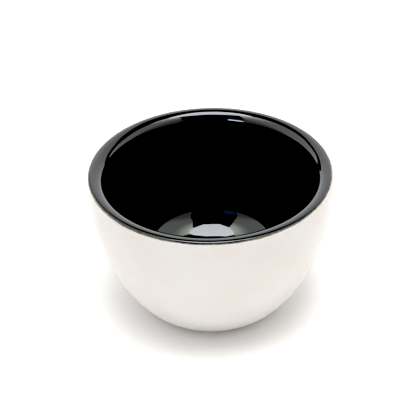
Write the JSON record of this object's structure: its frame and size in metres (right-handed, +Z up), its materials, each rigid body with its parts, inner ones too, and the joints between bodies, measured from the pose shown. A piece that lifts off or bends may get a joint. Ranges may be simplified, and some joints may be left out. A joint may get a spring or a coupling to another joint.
{
  "type": "shaving bowl",
  "caption": "Deep round stoneware shaving bowl with a thick rounded lip, pale satin outside, dark glossy inside and a low bare foot ring.",
  "frame": {"origin": "centre of the foot ring, on the surface that the bowl stands on", "axes": "+Z up along the axis that the bowl was turned on; X and Y are level and alike, because the bowl is round"},
  "size_m": [0.11, 0.11, 0.069],
  "materials": {
    "bare_stoneware": "matte, fired and unglazed, fine sandy grain",
    "pale_satin_glaze": "satin white",
    "dark_lip_glaze": "gloss black, breaking to brown where it runs thin at its outer edge",
    "dark_gloss_glaze": "deep gloss black",
    "pale_recess_glaze": "satin white"
  },
  "bodies": {
    "root": {"stoneware_body": "bare_stoneware", "exterior_glaze": "pale_satin_glaze", "rim_glaze_band": "dark_lip_glaze", "interior_glaze": "dark_gloss_glaze", "recess_glaze": "pale_recess_glaze"}
  },
  "joints": []
}
